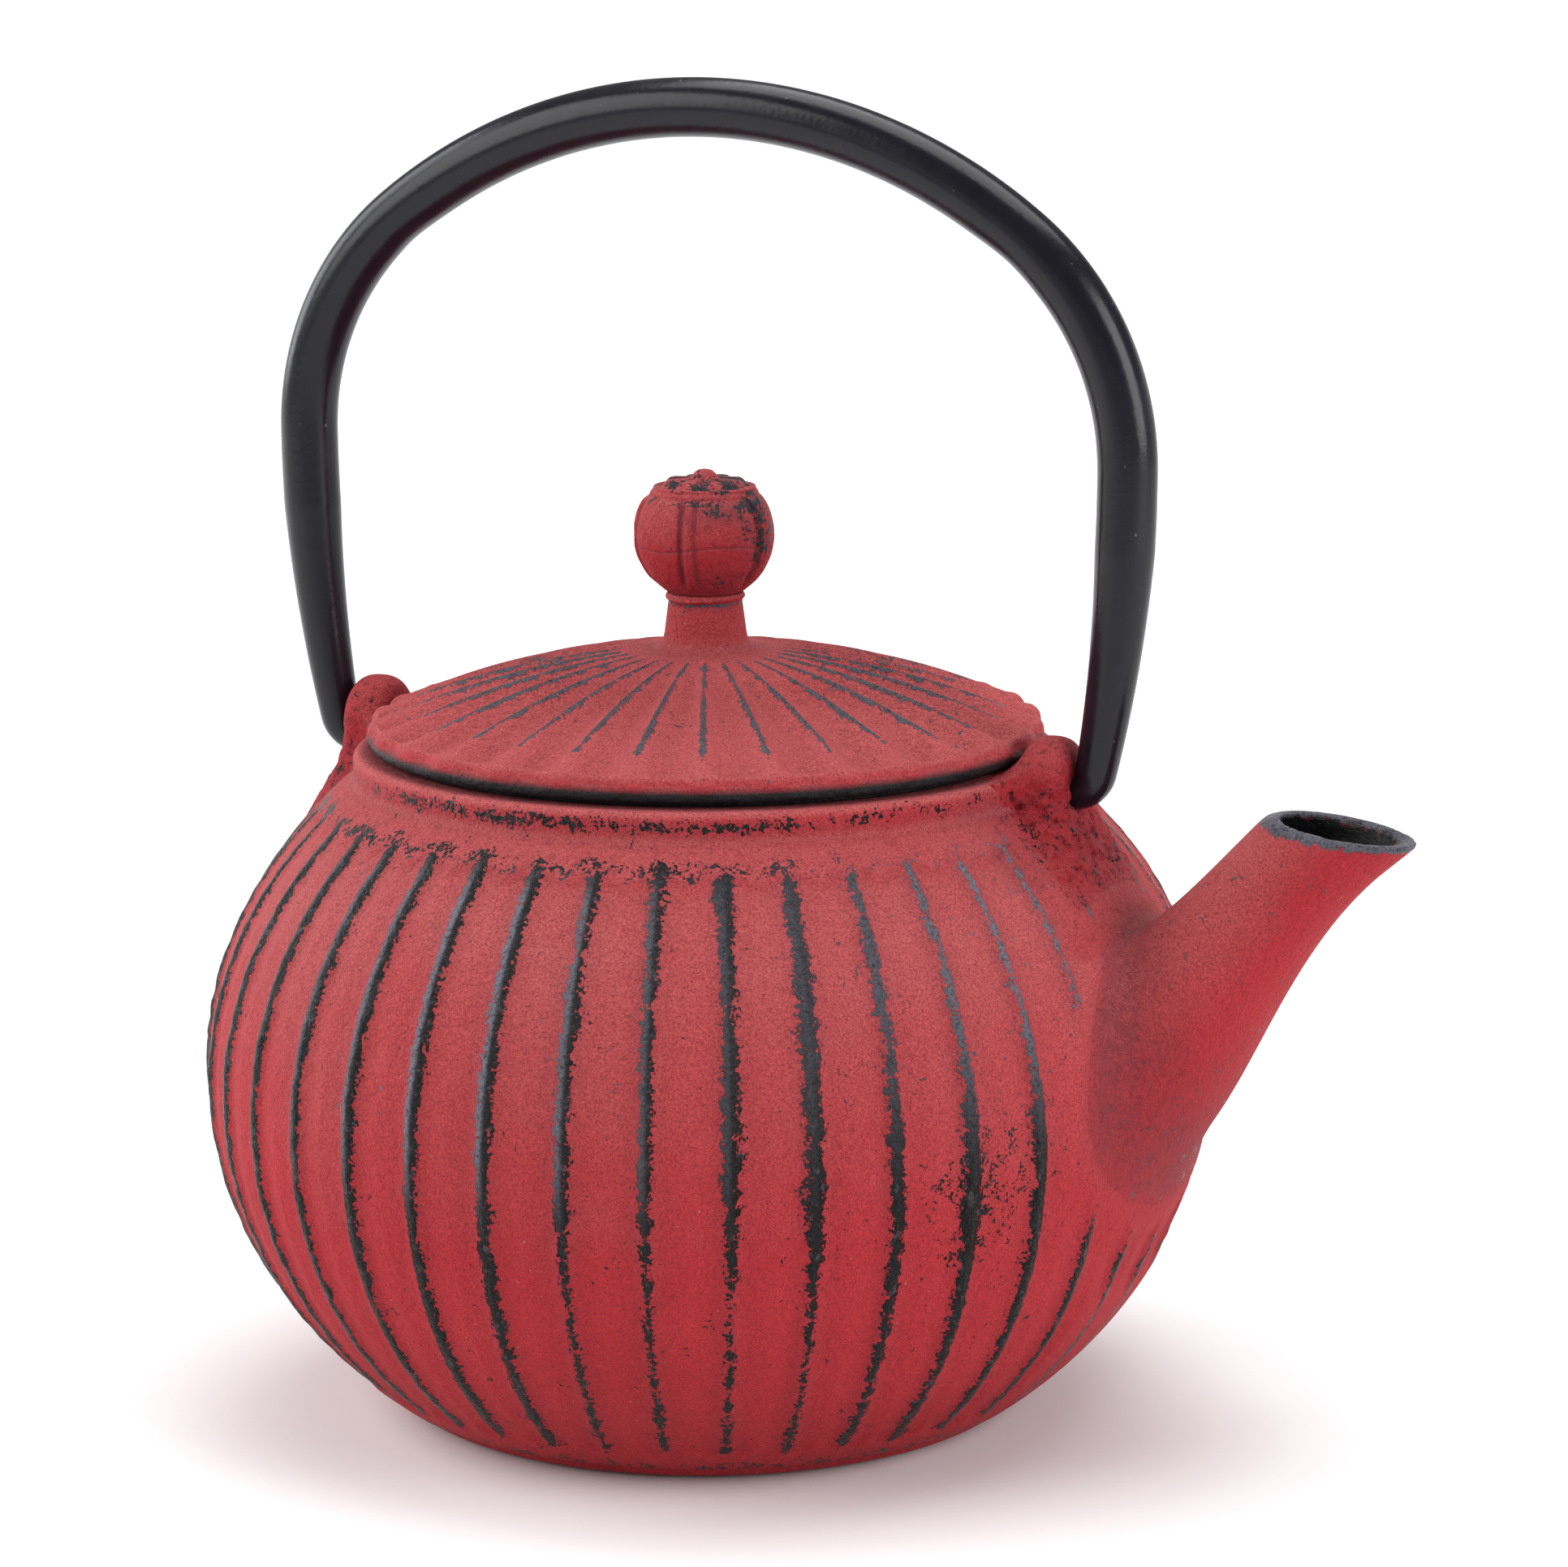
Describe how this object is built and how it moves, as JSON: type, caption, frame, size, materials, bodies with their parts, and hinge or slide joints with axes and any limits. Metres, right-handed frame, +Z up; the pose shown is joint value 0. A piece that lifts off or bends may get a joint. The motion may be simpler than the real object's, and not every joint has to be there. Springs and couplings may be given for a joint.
{
  "type": "cast iron teapot",
  "caption": "Round fluted cast iron teapot with a short upturned spout, domed lid with ball knob, tubular bail handle and lift-out infuser.",
  "frame": {"origin": "centre of the flat foot, on the surface the pot stands on; the middle of the lid and mouth is straight above it", "axes": "+Z up, +X towards the spout, the handle's hinge line runs along X"},
  "size_m": [0.1968, 0.16, 0.2095],
  "materials": {
    "red_iron": "matte",
    "lid_iron": "matte",
    "knob_iron": "matte",
    "black_steel": "satin",
    "rivet_steel": "satin",
    "infuser_steel": "satin",
    "infuser_mesh": "satin"
  },
  "bodies": {
    "pot": {"body": "red_iron"},
    "bail": {"handle": "black_steel"},
    "lid_set": {"lid": "lid_iron", "knob": "knob_iron", "knob_rivet": "rivet_steel", "rivet_washer": "rivet_steel"},
    "infuser": {"infuser_rim": "infuser_steel", "infuser_wall": "infuser_mesh", "infuser_base": "infuser_mesh"}
  },
  "joints": [
    {"name": "handle_swing", "type": "hinge", "parent": "pot", "child": "bail", "pos_m": [0, 0, 0.102], "axis": [1, 0, 0], "range_deg": [-115, 115]},
    {"name": "lid_lift", "type": "slide", "parent": "pot", "child": "lid_set", "axis": [0, 0, 1], "range_m": [0, 0.045]},
    {"name": "infuser_lift", "type": "slide", "parent": "pot", "child": "infuser", "axis": [0, 0, 1], "range_m": [0, 0.027]}
  ],
  "couplings": [
    {"joint": "infuser_lift", "follows": "lid_lift", "ratio": 0.6}
  ]
}
